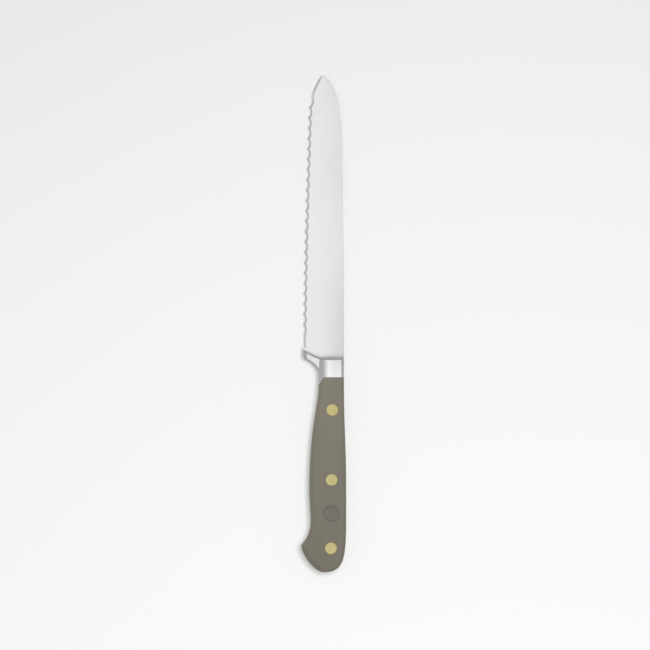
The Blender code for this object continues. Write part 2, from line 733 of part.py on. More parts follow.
def build():
    clear_scene()
    parts = new_collection("serrated_utility_knife")
    cutters = new_collection("construction_shapes")
    steel = new_material("forged_steel", (0.80, 0.81, 0.82), 1.0, 0.28)
    plastic = new_material("scale_plastic", (0.222, 0.199, 0.159), 0.0, 0.55)
    inlay_plastic = new_material("inlay_plastic", (0.181, 0.165, 0.130), 0.0, 0.5)
    brass = new_material("rivet_brass", (0.565, 0.497, 0.246), 1.0, 0.35)
    frame = bpy.data.objects.new("knife_frame", None)
    bpy.context.scene.collection.objects.link(frame)

    forging(parts, cutters, frame, steel)
    clearance = add_object("bolster_clearance", bolster_clearance_mesh(), cutters)
    clearance.parent = frame
    mark_as_construction(clearance)
    scale("scale_upper", UPPER, parts, cutters, frame, plastic, with_inlay=True)
    scale("scale_lower", LOWER, parts, cutters, frame, plastic, with_inlay=False)
    for name, place in zip(RIVET_NAMES, RIVET_PLACES):
        rivet_halves(name, place, parts, frame, brass)
    inlay(parts, frame, inlay_plastic)
    lay_on_lower_scale(frame, parts)
    bpy.context.view_layer.update()


build()
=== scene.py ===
"""Serrated utility knife lying on a pale floor, seen from above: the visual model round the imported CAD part.

Shapes are drawn in the knife's own frame, in metres: X across the blade with the spine at X = 0 and the edge
towards -X, Y from the butt to the tip, Z through the thickness. KNIFE lays that frame on the lower scale, as
the CAD part does. A depth is a distance below the line of the spine, towards the edge, and a position is one
from the butt.
"""

from math import atan2, cos, hypot, pi, radians, sin, sqrt, tan

import bmesh
import bpy
from mathutils import Matrix, Vector
from mathutils.geometry import interpolate_bezier


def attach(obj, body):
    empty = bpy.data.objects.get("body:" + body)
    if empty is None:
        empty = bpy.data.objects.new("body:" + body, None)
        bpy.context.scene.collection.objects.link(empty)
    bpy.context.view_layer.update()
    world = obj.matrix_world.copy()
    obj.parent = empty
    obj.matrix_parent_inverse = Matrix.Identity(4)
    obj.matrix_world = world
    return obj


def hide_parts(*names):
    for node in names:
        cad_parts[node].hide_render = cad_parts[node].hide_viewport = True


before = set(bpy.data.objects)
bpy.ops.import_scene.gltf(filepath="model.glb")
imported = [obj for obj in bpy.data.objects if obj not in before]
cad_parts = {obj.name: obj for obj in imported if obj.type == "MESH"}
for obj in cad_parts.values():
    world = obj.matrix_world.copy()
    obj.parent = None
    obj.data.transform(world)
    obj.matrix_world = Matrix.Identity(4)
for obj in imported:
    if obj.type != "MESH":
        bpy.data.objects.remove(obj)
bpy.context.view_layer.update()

# Sizes shared with the CAD part
HANDLE_LENGTH = 0.0995
BOLSTER_LENGTH = 0.0091
HEEL_LEAD = 0.0049
BLADE_LENGTH = 0.141
BLADE_HEIGHT = 0.0214
TIP_DEPTH = 0.0105
SPINE_THICKNESS = 0.0022
EDGE_THICKNESS = 0.0006
TIP_THINNING = 0.0005
SPINE_DROP_LENGTH = 0.0395
SPINE_DROP_DEPTH = 0.0008
EDGE_RISE_LENGTH = 0.0217
EDGE_RISE_DEPTH = 0.01865
SERRATION_PITCH = 0.00528
PLAIN_HEEL_LENGTH = 0.0077
PLAIN_TIP_LENGTH = 0.0118
BOLSTER_FRONT_THICKNESS = 0.0114
STEP_STRAIGHT_DEPTH = 0.0098
SEAM_STRAIGHT_DEPTH = 0.0104
SEAM_SLANT_LENGTH = 0.0041
NECK_DEPTH = 0.01305
NECK_POSITION = 0.0940
BELLY_DEPTH = 0.0177
BELLY_POSITION = 0.0430
WAIST_DEPTH = 0.0170
WAIST_POSITION = 0.0263
HOOK_DEPTH = 0.0218
HOOK_POSITION = 0.0137
BUTT_DEPTH = 0.0105
SWELL_HEIGHT = 0.00115
SWELL_POSITION = 0.0380
HANDLE_SEAM_THICKNESS = 0.0124
HANDLE_BUTT_THICKNESS = 0.0146
TANG_THICKNESS = 0.0024
# Position and depth of each rivet
RIVET_PLACES = {"butt": (0.0122, 0.0066), "middle": (0.0471, 0.00625), "front": (0.0828, 0.0059)}
RIVET_HEAD_DIAMETER = 0.0062
INLAY_DIAMETER = 0.0087
INLAY_POSITION = 0.0299
INLAY_DEPTH = 0.00635

STEP_POSITION = HANDLE_LENGTH + BOLSTER_LENGTH
HEEL_POSITION = STEP_POSITION + HEEL_LEAD
TIP_POSITION = HEEL_POSITION + BLADE_LENGTH
TAPER_ANGLE = atan2((HANDLE_BUTT_THICKNESS - HANDLE_SEAM_THICKNESS) / 2, HANDLE_LENGTH)
# Where the CAD part has the origin of the knife's own frame
KNIFE_ORIGIN = (0.0103229, -0.1272082, 0.0072996)
KNIFE = Matrix.Translation(KNIFE_ORIGIN) @ Matrix.Rotation(-TAPER_ANGLE, 4, "X")

# Finer shapes of the blade
BEVEL_WIDTH = 0.0015
BEVEL_TILT = 0.255  # slope of the bevel, in radians
BEVEL_HOLLOW = 0.04  # how far the serrated bevel is ground hollow, as a share of its width
BEVEL_RIPPLE = 1.1  # wave of the bevel's inner line, as a share of the wave of the edge
BEVEL_SHARES = (0.17, 0.33, 0.5, 0.67, 0.83, 1)  # where the bevel has its points, as shares of its width
BACK_SHARE = 0.4  # width of the strip along the edge of the lower face, as a share of the bevel's
PLAIN_BEVEL = 0.9  # width of the plain bevel at heel and tip, as a share of that of the serrated one
PLAIN_FADE = 0.002  # length over which the one width turns into the other
SERRATION_DEPTH = 0.00072
HEEL_SETBACK = 0.00042  # how much the plain edge at the heel has been ground back
SETBACK_SHARE = 0.6  # share of that which is left where the scallops start
SETBACK_FADE = 0.003  # length over which it runs out
EDGE_START_RISE = 0.0001  # slight rise with which the edge leaves the heel
BLADE_CROWN = 0.0002  # how far the middle of a blade face stands out from the flat wedge
HEEL_CROWN = 0.0003  # how much more it stands out at the heel
HEEL_CROWN_LENGTH = 0.05
BLADE_LAND = 0.00005  # thickness of the keen edge
SPINE_BREAK = 0.00006  # rounding of the corners of the spine
ROOT_NARROWING = 0.00002  # of the blade at spine and edge, where the step runs out on it
ROOT_FADE = 0.001  # length over which that narrowing ends
ROOT_SHARE = 0.15  # width of the root inside the bolster, as a share of the blade's
ROOT_DEPTH = 0.002  # where the root starts
TIP_GRIND = 0.0002  # how much more each face is ground away at the tip
TIP_GRIND_LENGTH = 0.03

# Finer shapes of bolster and guard
BOLSTER_BELLY_ROUND = 0.0062  # width of the bolster's rounding on the edge side, at the step
SEAM_BELLY_ROUND = 0.0072  # and at the seam
BOLSTER_CORNER = 0.06  # radius of the corner below that rounding, as a share of its width
STEP_RUN = 0.0064  # length of the hollow fillet from the bolster down to the blade, where it starts to sweep
SPINE_STEP_RUN = 0.0048  # the same at the spine
HEEL_STEP_RUN = 0.0022  # and at the heel
STEP_BREAK = 0.00028  # rounding of the upper edge of the step
STEP_POWER = 3.6  # how much the hollow of the step tightens towards its wall
STEP_CROWDING = 1.6  # how much closer the points of the hollow lie near that wall
STEP_SINK = 0.00001  # how far below the face of the blade the hollow ends
GUARD_OVERLAP = 0.0010  # how far the guard reaches into the bolster
FINGER_OVERLAP = 0.0005  # how far the finger curve does
GUARD_HEEL_LENGTH = 0.0047
GUARD_ROOT_HEIGHT = 0.0041
GUARD_HEEL_HEIGHT = 0.0029  # where the shoulder at the heel starts
GUARD_FINGER_SHOULDER = 0.0011  # width of the sloping shoulder along the finger curve
SHOULDER_TILT = 0.75  # its slope, in radians, where it meets the corner
SHOULDER_CORNER = 0.1  # radius of that corner, as a share of the shoulder's width
GUARD_HEEL_SHOULDER = 0.0022  # the same three for the shoulder at the heel
HEEL_TILT = 0.4
HEEL_CORNER = 0.3
HEEL_BREAK = 0.0004  # rounding of the guard's rear corner at the heel
SLOPE_REACH = 0.0002  # distance to each side over which the slope of the finger curve is taken

# Finer shapes of the handle
SPINE_ROUND = 0.0016  # width of the rounding on the spine side of bolster and scales
BELLY_ROUND = 0.0036  # width of the rounding on the edge side of the scales
BUTT_NARROWER = 0.0011  # how much less the rounding is at the end of the butt
BUTT_NARROWER_LENGTH = 0.02  # position where that has run out
HOOK_ROUND = 0.0006  # width of the rounding at the tip of the hook
HOOK_ROUND_GROWTH = 0.7  # by how much it grows with the distance from there
ROUND_TILT = 0.6  # slope, in radians, where a rounding of bolster or scales meets its corner
ROUND_CORNER = 0.12  # radius of that corner on the scales, as a share of the rounding's width
CREASE_TILT = 0.24  # slope, in radians, at which the rim of a scale leaves its flat face at the butt
CREASE_LENGTH = 0.011  # position where that crease has run out
CREASE_START = 0.1  # it starts where the way into the scale points this much towards the edge
CREASE_TURN = 0.5  # and is full where that way has turned this much further towards the spine
SCALE_OVERLENGTH = 0.006  # cut off again along the seam
TANG_NARROWING = 0.0005  # on each side, inside the bolster
TANG_BREAK = 0.00012  # chamfer along the edges of the tang
TANG_OVERLAP = 0.000005  # how far the tang's full width reaches past the seam
SEAM_LINE = 0.00004  # gap between bolster and scales
RIVET_LINE = 0.00004  # gap round rivet heads and inlay
RIVET_RISE = 0.00004  # of the upper heads over the scale
RIVET_SOFT = 0.00022  # width of the softened rim of a head
PLUG_LENGTH = 0.0009  # how deep heads and inlay stand in the scale
POCKET_SHARE = 1.2  # depth of their pockets, as a share of that
CUT_MARGIN = 0.01  # lets the cutters reach well past what they cut

# Colours, as linear red, green and blue
SATIN_GREY = 0.73
BLADE_GREY = 0.675
COOL_TINT = (0.995, 1, 1.005)
GREY_CHANGE = 0.0024  # length over which the satin steel turns to the grey of the blade
SCALE_DARK, SCALE_LIGHT = (0.262, 0.234, 0.176), (0.284, 0.254, 0.193)
INLAY_DARK, INLAY_LIGHT = (0.225, 0.202, 0.157), (0.245, 0.220, 0.172)
PAINTED_LIGHT_AT_FRONT = 1.23  # how much lighter the plastic is painted at the bolster than at the butt: painted shade for light falling off towards the butt
PAINTED_LIGHT_RANGE = (0.002, 0.09)  # positions between which it changes
BRASS_DARK, BRASS_LIGHT, BRASS_WORN = (0.58, 0.503, 0.230), (0.64, 0.559, 0.264), (0.70, 0.64, 0.40)
FLOOR_GREY = 0.36

# Light and floor
BOX_LEAN = radians(10)
BOX_REACH = radians(36)
BOX_LIGHT = 1.40
TENT_LIGHT = 0.5
TENT_BEHIND = 0.7  # how bright box and tent are behind the butt, as a share
FLOOR_LIGHT = 19
FLOOR_LIGHT_SIZE = 0.36
FLOOR_LIGHT_PLACE = (0.125, 0.01, 1.2)
FLOOR_GLOW = 0.25
GLOW_CHANGE = 0.06  # brighter by this much under the butt and dimmer under the tip
GLOW_RANGE = (-0.04, 0.295)  # positions between which it changes
FLOOR_SIZE = 3.0
FLOOR_GAP = 0.00001  # keeps the sheet out of the plane of the knife's lower face

# Camera
SENSOR_WIDTH = 36
PHOTO_WIDTH = 650  # pixels
PHOTO_SCALE = 1950  # pixels per metre
CAMERA_PLACE = (0.00065, -0.00096)  # above the middle of the photograph
CAMERA_HEIGHT = 3.0

# Steps along curves
HEEL_STEPS = 16
SCALLOP_STEPS = 16
TIP_STEPS = 40
FACE_STEPS = 24
OUTLINE_STEPS = 30
ROUND_STEPS = 12
CORNER_STEPS = 6
FLAT_STEPS = 6
STEP_STEPS = 16
GUARD_STEPS = 24
RIM_STEPS = 6
TURN_STEPS = 72
QUARTER_TURN = [pi / 2 * i / ROUND_STEPS for i in range(ROUND_STEPS + 1)]
UPPER = 1
LOWER = -1


# Lines in plan


def plan_point(depth, position, z=0.0):
    return Vector((-depth, position, z))


def clamped(share):
    return min(max(share, 0), 1)


def value_at(points, key):
    """Reads a line, given as (key, value) points in rising order of key."""
    for (k0, v0), (k1, v1) in zip(points, points[1:]):
        if key <= k1:
            return v0 + (v1 - v0) * max(key - k0, 0) / (k1 - k0)
    return points[-1][1]


def bezier_line(start, start_handle, end_handle, end, steps=80):
    corners = [Vector((*p, 0)) for p in (start, start_handle, end_handle, end)]
    return [(p.x, p.y) for p in interpolate_bezier(*corners, steps)]


def blade_lines():
    """The spine and the edge as (position, depth) lines."""
    drop = TIP_POSITION - SPINE_DROP_LENGTH
    rise = TIP_POSITION - EDGE_RISE_LENGTH
    tip = (TIP_POSITION, TIP_DEPTH)
    spine = bezier_line(
        (STEP_POSITION, 0),
        (STEP_POSITION + 0.6 * (drop - STEP_POSITION), 0),
        (drop - 0.5 * (drop - STEP_POSITION), 0.35 * SPINE_DROP_DEPTH),
        (drop, SPINE_DROP_DEPTH),
    )
    spine += bezier_line(
        (drop, SPINE_DROP_DEPTH),
        (drop + 0.52 * SPINE_DROP_LENGTH, SPINE_DROP_DEPTH + 0.02 * TIP_DEPTH),
        (TIP_POSITION - 0.13 * SPINE_DROP_LENGTH, 0.3 * TIP_DEPTH),
        tip,
    )[1:]
    edge = bezier_line(
        (HEEL_POSITION, BLADE_HEIGHT),
        (HEEL_POSITION + 0.3 * (rise - HEEL_POSITION), BLADE_HEIGHT - EDGE_START_RISE),
        (rise - 0.3 * (rise - HEEL_POSITION), EDGE_RISE_DEPTH + 0.42 * (BLADE_HEIGHT - EDGE_RISE_DEPTH)),
        (rise, EDGE_RISE_DEPTH),
    )
    edge += bezier_line(
        (rise, EDGE_RISE_DEPTH),
        (rise + 0.58 * EDGE_RISE_LENGTH, EDGE_RISE_DEPTH - 0.1 * (EDGE_RISE_DEPTH - TIP_DEPTH)),
        (TIP_POSITION - 0.02 * EDGE_RISE_LENGTH, TIP_DEPTH + 0.26 * (EDGE_RISE_DEPTH - TIP_DEPTH)),
        tip,
    )[1:]
    return spine, edge


SPINE_LINE, EDGE_LINE = blade_lines()


def step_line():
    """The upper edge of the step down to the blade, as (depth, position) points."""
    sweep = BLADE_HEIGHT - STEP_STRAIGHT_DEPTH
    return [(0, STEP_POSITION)] + bezier_line(
        (STEP_STRAIGHT_DEPTH, STEP_POSITION),
        (STEP_STRAIGHT_DEPTH + 0.4 * sweep, STEP_POSITION),
        (BLADE_HEIGHT - 0.25 * sweep, HEEL_POSITION - 0.3 * HEEL_LEAD),
        (BLADE_HEIGHT, HEEL_POSITION),
    )


def finger_line():
    """The back of the finger guard, as (depth, position) points from inside the bolster to the heel."""
    reach = BLADE_HEIGHT - NECK_DEPTH
    end = HEEL_POSITION - GUARD_HEEL_LENGTH
    return bezier_line(
        (NECK_DEPTH - FINGER_OVERLAP, HANDLE_LENGTH),
        (NECK_DEPTH, HANDLE_LENGTH + 0.50 * (end - HANDLE_LENGTH)),
        (NECK_DEPTH + 0.42 * reach, end - 0.12 * (end - HANDLE_LENGTH)),
        (BLADE_HEIGHT, end),
    )


def handle_outline(front):
    """The outline of tang and scales as (depth, position) points, with its front end at front."""
    start = HANDLE_LENGTH
    back_run = start - SWELL_POSITION
    hook = (HOOK_DEPTH, HOOK_POSITION)
    waist = (WAIST_DEPTH, WAIST_POSITION)
    belly = (BELLY_DEPTH, BELLY_POSITION)
    neck = (NECK_DEPTH, NECK_POSITION)
    spans = [
        (
            (0, start),
            (0, start - 0.47 * back_run),
            (-SWELL_HEIGHT, SWELL_POSITION + 0.53 * back_run),
            (-SWELL_HEIGHT, SWELL_POSITION),
        ),
        (
            (-SWELL_HEIGHT, SWELL_POSITION),
            (-SWELL_HEIGHT, 0.22 * SWELL_POSITION),
            (-1.5 * SWELL_HEIGHT, 0),
            (BUTT_DEPTH, 0),
        ),
        (
            (BUTT_DEPTH, 0),
            (BUTT_DEPTH + 0.36 * (HOOK_DEPTH - BUTT_DEPTH), 0),
            (HOOK_DEPTH - 0.05 * HOOK_POSITION, 0.56 * HOOK_POSITION),
            hook,
        ),
        (
            hook,
            (
                HOOK_DEPTH - 0.34 * (HOOK_DEPTH - WAIST_DEPTH),
                HOOK_POSITION + 0.19 * (WAIST_POSITION - HOOK_POSITION),
            ),
            (WAIST_DEPTH, WAIST_POSITION - 0.6 * (WAIST_POSITION - HOOK_POSITION)),
            waist,
        ),
        (
            waist,
            (WAIST_DEPTH, WAIST_POSITION + 0.4 * (BELLY_POSITION - WAIST_POSITION)),
            (BELLY_DEPTH, BELLY_POSITION - 0.5 * (BELLY_POSITION - WAIST_POSITION)),
            belly,
        ),
        (
            belly,
            (BELLY_DEPTH, BELLY_POSITION + 0.57 * (NECK_POSITION - BELLY_POSITION)),
            (NECK_DEPTH, NECK_POSITION - 0.16 * (NECK_POSITION - BELLY_POSITION)),
            neck,
        ),
    ]
    points = [(0, front)]
    for span in spans:
        points += bezier_line(*span, OUTLINE_STEPS + 1)[:-1]
    return points + [neck, (NECK_DEPTH, front)]


# Meshes


def loft(bm, rings):
    """Adds a closed skin over rings of equally many points, with a flat face at each end."""
    loops = [[bm.verts.new(point) for point in ring] for ring in rings]
    faces = []
    for one, two in zip(loops, loops[1:]):
        for i in range(len(one)):
            j = (i + 1) % len(one)
            faces.append(bm.faces.new((one[i], one[j], two[j], two[i])))
    faces += [bm.faces.new(loops[0]), bm.faces.new(loops[-1])]
    bmesh.ops.recalc_face_normals(bm, faces=faces)


def finish_mesh(bm, name, sharp_angle):
    """Turns bm into a smoothly shaded mesh whose edges above sharp_angle stay crisp."""
    bmesh.ops.dissolve_degenerate(bm, dist=1e-7, edges=bm.edges)
    mesh = bpy.data.meshes.new(name)
    bm.to_mesh(mesh)
    bm.free()
    mesh.shade_smooth()
    mesh.set_sharp_from_angle(angle=sharp_angle)
    return mesh


def edge_profile(tilt, corner, crease=0.0):
    """A rounding of width 1 as (inset, drop) points, from the side wall up to the flat top.

    A corner with the radius corner leads from the wall to a wide arc, whose slope runs from tilt to crease.
    """
    radius = 1 / (sin(tilt) - sin(crease))
    shift = corner * (1 - sin(tilt))
    deepest = radius * (cos(crease) - cos(tilt))
    points = []
    for i in range(CORNER_STEPS):
        slope = pi / 2 + (tilt - pi / 2) * i / CORNER_STEPS
        points.append((corner * (1 - sin(slope)), deepest + corner * (cos(tilt) - cos(slope))))
    for i in range(ROUND_STEPS + 1):
        slope = tilt + (crease - tilt) * i / ROUND_STEPS
        points.append((shift + radius * (sin(tilt) - sin(slope)), radius * (cos(crease) - cos(slope))))
    return points


def add_piece(name, mesh, material, nodes):
    """Lays a mesh drawn in the knife's frame on the lower scale, in place of CAD nodes."""
    mesh.transform(KNIFE)
    obj = bpy.data.objects.new(name, mesh)
    bpy.context.scene.collection.objects.link(obj)
    mesh.materials.clear()
    mesh.materials.append(material)
    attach(obj, "root")
    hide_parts(*nodes)
    return obj


# Forging


def wedge(depth, position):
    """Half the blade's thickness, before its faces are crowned."""
    across = (SPINE_THICKNESS - EDGE_THICKNESS) / 2 * depth / BLADE_HEIGHT
    along = TIP_THINNING / 2 * (position - HEEL_POSITION) / BLADE_LENGTH
    tip = TIP_GRIND * max((position - TIP_POSITION) / TIP_GRIND_LENGTH + 1, 0) ** 2
    return SPINE_THICKNESS / 2 - across - along - tip


def blade_face(depth, position):
    """Height of the crowned upper face of the blade."""
    spine_depth, edge_depth = value_at(SPINE_LINE, position), value_at(EDGE_LINE, position)
    share = clamped((depth - spine_depth) / (edge_depth - spine_depth))
    crown = BLADE_CROWN + HEEL_CROWN * max(1 - (position - HEEL_POSITION) / HEEL_CROWN_LENGTH, 0)
    crown *= (edge_depth - spine_depth) / BLADE_HEIGHT
    return wedge(depth, position) + 4 * crown * share * (1 - share)


def serrated_range():
    return HEEL_POSITION + PLAIN_HEEL_LENGTH, TIP_POSITION - PLAIN_TIP_LENGTH


def serration_wave(position):
    """How far the edge is drawn back, by the scallops and at the plain heel."""
    low, high = serrated_range()
    worn = HEEL_SETBACK * clamped(SETBACK_SHARE + (low - position) / SETBACK_FADE)
    if position <= low:
        return worn
    if position >= high:
        return 0.0
    count = round((high - low) / SERRATION_PITCH)
    share = (position - low) / (high - low) * count % 1
    return worn + SERRATION_DEPTH * 4 * share * (1 - share)


def blade_ring(position):
    """A section of the blade: upper face, bevel, edge and lower face. Its details shrink at the tip."""
    spine_depth, plain_edge = value_at(SPINE_LINE, position), value_at(EDGE_LINE, position)
    height = plain_edge - spine_depth
    spine_depth += ROOT_NARROWING * clamped((STEP_POSITION + SPINE_STEP_RUN - position) / ROOT_FADE)
    wave = serration_wave(position)
    wave += ROOT_NARROWING * clamped((HEEL_POSITION + HEEL_STEP_RUN - position) / ROOT_FADE)
    low, high = serrated_range()
    outside = max(low - position, position - high, 0)
    plain = min(outside / PLAIN_FADE, 1)
    bevel = min(BEVEL_WIDTH * (1 + (PLAIN_BEVEL - 1) * plain), 0.25 * height)
    rounding = min(SPINE_BREAK, 0.1 * height)
    corner = 0.3 * rounding
    edge_depth = plain_edge - wave
    bevel_depth = plain_edge - bevel - BEVEL_RIPPLE * wave

    def face(depth):
        return blade_face(depth, position)

    steps = range(FACE_STEPS + 1)
    face_width = bevel_depth - spine_depth - rounding
    depths = [spine_depth + rounding + face_width * i / FACE_STEPS for i in steps]
    spine_face = face(spine_depth)
    upper = [(spine_depth, spine_face - rounding), (spine_depth + corner, spine_face - corner)]
    upper += [(depth, face(depth)) for depth in depths]
    thin = min(BLADE_LAND, 0.02 * height)
    ground = face(bevel_depth) - tan(BEVEL_TILT) * (edge_depth - bevel_depth)
    land_top = max(ground, thin - 0.8 * face(edge_depth))
    edge_low = land_top - thin
    hollow = BEVEL_HOLLOW * bevel * min(0.25 + wave / SERRATION_DEPTH, 1)
    for share in BEVEL_SHARES:
        depth = bevel_depth + (edge_depth - bevel_depth) * share
        top = face(bevel_depth) + (land_top - face(bevel_depth)) * share
        upper.append((depth, top - 4 * hollow * share * (1 - share)))
    back = edge_depth - BACK_SHARE * bevel
    lower_depths = [back + (spine_depth + rounding - back) * i / FACE_STEPS for i in steps]
    lower = [(edge_depth, edge_low)] + [(depth, -face(depth)) for depth in lower_depths]
    lower += [(spine_depth + corner, corner - spine_face), (spine_depth, rounding - spine_face)]
    return [plan_point(depth, position, z) for depth, z in upper + lower]


def blade_positions():
    low, high = serrated_range()
    steps = round((high - low) / SERRATION_PITCH) * SCALLOP_STEPS
    plain = low - HEEL_POSITION + HEEL_STEP_RUN
    heel = [HEEL_POSITION - HEEL_STEP_RUN + plain * i / HEEL_STEPS for i in range(HEEL_STEPS)]
    scallops = [low + (high - low) * i / steps for i in range(steps + 1)]
    tip = [TIP_POSITION - PLAIN_TIP_LENGTH * (1 - i / TIP_STEPS) ** 2 for i in range(1, TIP_STEPS)]
    return heel + scallops + tip


def add_blade(bm):
    """The blade, with a narrow root that ends inside the bolster."""
    rings = [blade_ring(position) for position in blade_positions()]
    root = HANDLE_LENGTH + 0.6 * BOLSTER_LENGTH
    first = [Vector((point.x * ROOT_SHARE - ROOT_DEPTH, root, point.z)) for point in rings[0]]
    loft(bm, [first] + rings)


def step_section(depth, rear_points, front, top, run):
    """A section at one depth: rear_points, the broken edge of the step and the hollow down to the blade."""
    edge = STEP_BREAK
    back, height = rear_points[-1]
    upper = list(rear_points)
    for distance in (5 * edge, 3 * edge):
        share = min(distance / (front - back), 0.9)
        upper.append((front + (back - front) * share, top + (height - top) * share))
    upper += [(front - edge * (1 - sin(a)), top - edge * (1 - cos(a))) for a in QUARTER_TURN[:-1:2]]
    start, foot = top - edge, blade_face(depth, front + run) - STEP_SINK
    for i in range(STEP_STEPS + 1):
        share = (i / STEP_STEPS) ** STEP_CROWDING
        fall = sqrt(1 - (1 - share ** (1 / STEP_POWER)) ** 2)
        upper.append((front + run * share, start + (foot - start) * fall))
    lower = [(position, -height) for position, height in reversed(upper)]
    return [plan_point(depth, position, height) for position, height in upper + lower]


def step_run(depth):
    """Length of the hollow at one depth."""
    share = clamped((depth - STEP_STRAIGHT_DEPTH) / (BLADE_HEIGHT - STEP_STRAIGHT_DEPTH))
    run = SPINE_STEP_RUN + (STEP_RUN - SPINE_STEP_RUN) * min(depth / STEP_STRAIGHT_DEPTH, 1)
    return run + (HEEL_STEP_RUN - run) * share


def add_bolster(bm):
    line = step_line()
    rounding = edge_profile(ROUND_TILT, BOLSTER_CORNER)

    def drop_at(depth, belly):
        spine_side = SPINE_ROUND * value_at(rounding, depth / SPINE_ROUND)
        return spine_side + belly * value_at(rounding, (NECK_DEPTH - depth) / belly)

    stations = [SPINE_ROUND * inset for inset, _ in rounding]
    stations += [NECK_DEPTH - BOLSTER_BELLY_ROUND * inset for inset, _ in rounding]
    flat = stations[CORNER_STEPS + ROUND_STEPS], stations[-1]
    stations += [flat[0] + (flat[1] - flat[0]) * i / FLAT_STEPS for i in range(1, FLAT_STEPS)]
    stations.append(SEAM_STRAIGHT_DEPTH)
    seam = [(0, HANDLE_LENGTH), (SEAM_STRAIGHT_DEPTH, HANDLE_LENGTH)]
    seam.append((NECK_DEPTH, HANDLE_LENGTH - SEAM_SLANT_LENGTH))
    rings = []
    for depth in sorted(stations):
        rear = (value_at(seam, depth), HANDLE_SEAM_THICKNESS / 2 - drop_at(depth, SEAM_BELLY_ROUND))
        top = BOLSTER_FRONT_THICKNESS / 2 - drop_at(depth, BOLSTER_BELLY_ROUND)
        rings.append(step_section(depth, [rear], value_at(line, depth), top, step_run(depth)))
    loft(bm, rings)


def add_guard(bm):
    line = step_line()
    finger = finger_line()
    rounding = edge_profile(SHOULDER_TILT, SHOULDER_CORNER)
    heel_rounding = edge_profile(HEEL_TILT, HEEL_CORNER)
    root = NECK_DEPTH - GUARD_OVERLAP
    end = BLADE_HEIGHT - HEEL_SETBACK
    last = end - GUARD_HEEL_SHOULDER * heel_rounding[-1][0]
    stations = [(root + (last - root) * i / GUARD_STEPS, i / GUARD_STEPS, 0.0) for i in range(GUARD_STEPS)]
    for inset, drop in reversed(heel_rounding):
        depth = end - GUARD_HEEL_SHOULDER * inset
        stations.append((depth, (depth - root) / (last - root), GUARD_HEEL_SHOULDER * drop))
    sections = []
    for depth, share, drop in stations:
        top = GUARD_ROOT_HEIGHT + (GUARD_HEEL_HEIGHT - GUARD_ROOT_HEIGHT) * share - drop
        reach = clamped((depth - last) / (end - last))
        corner = HEEL_BREAK * (1 - sqrt(1 - reach**2))
        rear, front = value_at(finger, depth) + corner, value_at(line, depth)
        change = value_at(finger, depth + SLOPE_REACH) - value_at(finger, depth - SLOPE_REACH)
        slope = change / (2 * SLOPE_REACH)
        width = min(GUARD_FINGER_SHOULDER * hypot(1, slope), 0.7 * (front - rear))
        rim = [(rear + width * inset, top - GUARD_FINGER_SHOULDER * fall) for inset, fall in rounding]
        run = step_run(depth) * (1 - 0.5 * reach)
        sections.append(step_section(depth, rim, front, top, run))
    loft(bm, sections)


def add_tang(bm):
    """The edge of the tang shows all round the handle, between the scales. In the bolster it is narrower."""
    front = HANDLE_LENGTH + 0.5 * BOLSTER_LENGTH
    seam, belly_seam = HANDLE_LENGTH + TANG_OVERLAP, HANDLE_LENGTH - SEAM_SLANT_LENGTH + TANG_OVERLAP
    slant = SEAM_SLANT_LENGTH / (NECK_DEPTH - SEAM_STRAIGHT_DEPTH)
    inner = NECK_DEPTH - TANG_NARROWING
    outline = [(TANG_NARROWING, front), (TANG_NARROWING, seam), (0, seam)]
    outline += handle_outline(HANDLE_LENGTH)[1:-1]
    outline += [(NECK_DEPTH, belly_seam), (inner, belly_seam + TANG_NARROWING * slant), (inner, front)]
    half = TANG_THICKNESS / 2
    rings = []
    levels = ((-half, TANG_BREAK), (TANG_BREAK - half, 0), (half - TANG_BREAK, 0), (half, TANG_BREAK))
    for z, shrink in levels:
        ring = []
        for (depth, position), (direction, _) in zip(outline, rim_insets(outline)):
            moved = Vector((depth, position)) + direction * shrink
            ring.append(plan_point(moved.x, moved.y, z))
        rings.append(ring)
    loft(bm, rings)


# Scales


def outer_face_height(position):
    return HANDLE_BUTT_THICKNESS / 2 - tan(TAPER_ANGLE) * position


def rim_insets(points):
    """For each outline point, the mitred direction into the material and the radius of the rounding there."""
    hook = Vector((HOOK_DEPTH, HOOK_POSITION))
    insets = []
    for i, point in enumerate(points):
        here, back, ahead = Vector(point), Vector(points[i - 1]), Vector(points[(i + 1) % len(points)])
        inward = [Vector((-run.y, run.x)).normalized() for run in (here - back, ahead - here)]
        mitre = (inward[0] + inward[1]).normalized()
        radius = BELLY_ROUND + (SPINE_ROUND - BELLY_ROUND) * (1 + mitre.x) / 2
        radius -= BUTT_NARROWER * max(mitre.y, 0) ** 4 * max(1 - point[1] / BUTT_NARROWER_LENGTH, 0)
        radius = min(radius, HOOK_ROUND + HOOK_ROUND_GROWTH * (here - hook).length)
        insets.append((mitre / mitre.dot(inward[0]), radius))
    return insets


def cut(obj, cutters):
    """Cuts the cutter meshes out of obj for good."""
    temporary = []
    for i, mesh in enumerate(cutters):
        cutter = bpy.data.objects.new(f"cutter_{i}", mesh)
        bpy.context.scene.collection.objects.link(cutter)
        modifier = obj.modifiers.new(f"cut {i}", "BOOLEAN")
        modifier.operation = "DIFFERENCE"
        modifier.object = cutter
        temporary.append(cutter)
    flat = obj.modifiers.new("flat faces", "WEIGHTED_NORMAL")
    flat.keep_sharp = True
    bpy.context.view_layer.update()
    result = bpy.data.meshes.new_from_object(obj.evaluated_get(bpy.context.evaluated_depsgraph_get()))
    old = obj.data
    bpy.data.objects.remove(obj)
    bpy.data.meshes.remove(old)
    for cutter in temporary:
        mesh = cutter.data
        bpy.data.objects.remove(cutter)
        bpy.data.meshes.remove(mesh)
    return result


